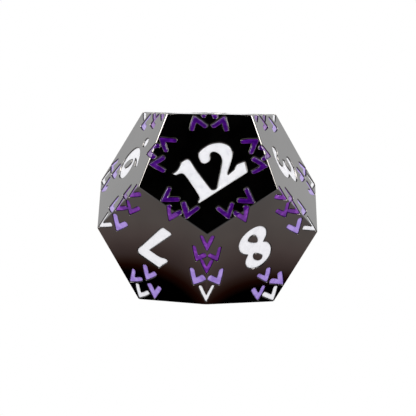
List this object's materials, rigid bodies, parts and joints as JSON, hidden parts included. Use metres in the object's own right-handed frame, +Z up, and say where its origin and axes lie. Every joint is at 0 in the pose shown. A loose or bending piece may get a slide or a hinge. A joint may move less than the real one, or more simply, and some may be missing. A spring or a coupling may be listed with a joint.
{
  "type": "polyhedral die",
  "caption": "Dodecahedral metal gaming die with recessed enamel numerals and chevron borders on every face.",
  "frame": {"origin": "centre of the die", "axes": "+Z up, out of the face numbered 2; the die stands on the face numbered 11; the face numbered 12 faces -Y and slopes up"},
  "size_m": [0.0222, 0.0234, 0.019],
  "materials": {
    "die_metal": "smooth dark nickel plating with rounded edges",
    "white_enamel": "satin white enamel, slightly uneven",
    "lilac_enamel": "satin lilac enamel, slightly uneven",
    "purple_enamel": "satin deep purple enamel, streaky"
  },
  "bodies": {
    "root": {"chevrons_10_5_pale": "lilac_enamel", "chevrons_10_5_purple": "purple_enamel", "chevrons_10_corner_pale": "lilac_enamel", "chevrons_11_10_pale": "lilac_enamel", "chevrons_11_10_purple": "purple_enamel", "chevrons_11_corner_pale": "lilac_enamel", "chevrons_12_2_purple": "purple_enamel", "chevrons_12_3_purple": "purple_enamel", "chevrons_12_7_purple": "purple_enamel", "chevrons_12_8_purple": "purple_enamel", "chevrons_12_9_purple": "purple_enamel", "chevrons_1_10_purple": "purple_enamel", "chevrons_1_11_purple": "purple_enamel", "chevrons_1_4_purple": "purple_enamel", "chevrons_1_5_purple": "purple_enamel", "chevrons_1_6_purple": "purple_enamel", "chevrons_2_3_pale": "lilac_enamel", "chevrons_2_3_purple": "purple_enamel", "chevrons_2_corner_pale": "lilac_enamel", "chevrons_3_8_pale": "lilac_enamel", "chevrons_3_8_purple": "purple_enamel", "chevrons_3_corner_pale": "lilac_enamel", "chevrons_4_11_pale": "lilac_enamel", "chevrons_4_11_purple": "purple_enamel", "chevrons_4_corner_pale": "lilac_enamel", "chevrons_5_6_pale": "lilac_enamel", "chevrons_5_6_purple": "purple_enamel", "chevrons_5_corner_pale": "lilac_enamel", "chevrons_6_4_pale": "lilac_enamel", "chevrons_6_4_purple": "purple_enamel", "chevrons_6_corner_pale": "lilac_enamel", "chevrons_7_9_pale": "lilac_enamel", "chevrons_7_9_purple": "purple_enamel", "chevrons_7_corner_pale": "lilac_enamel", "chevrons_8_7_pale": "lilac_enamel", "chevrons_8_7_purple": "purple_enamel", "chevrons_8_corner_pale": "lilac_enamel", "chevrons_9_2_pale": "lilac_enamel", "chevrons_9_2_purple": "purple_enamel", "chevrons_9_corner_pale": "lilac_enamel", "die_body": "die_metal", "dot_6": "white_enamel", "dot_9": "white_enamel", "numeral_1": "white_enamel", "numeral_10": "white_enamel", "numeral_11": "white_enamel", "numeral_12": "white_enamel", "numeral_2": "white_enamel", "numeral_3": "white_enamel", "numeral_4": "white_enamel", "numeral_5": "white_enamel", "numeral_6": "white_enamel", "numeral_7": "white_enamel", "numeral_8": "white_enamel", "numeral_9": "white_enamel"}
  },
  "joints": []
}
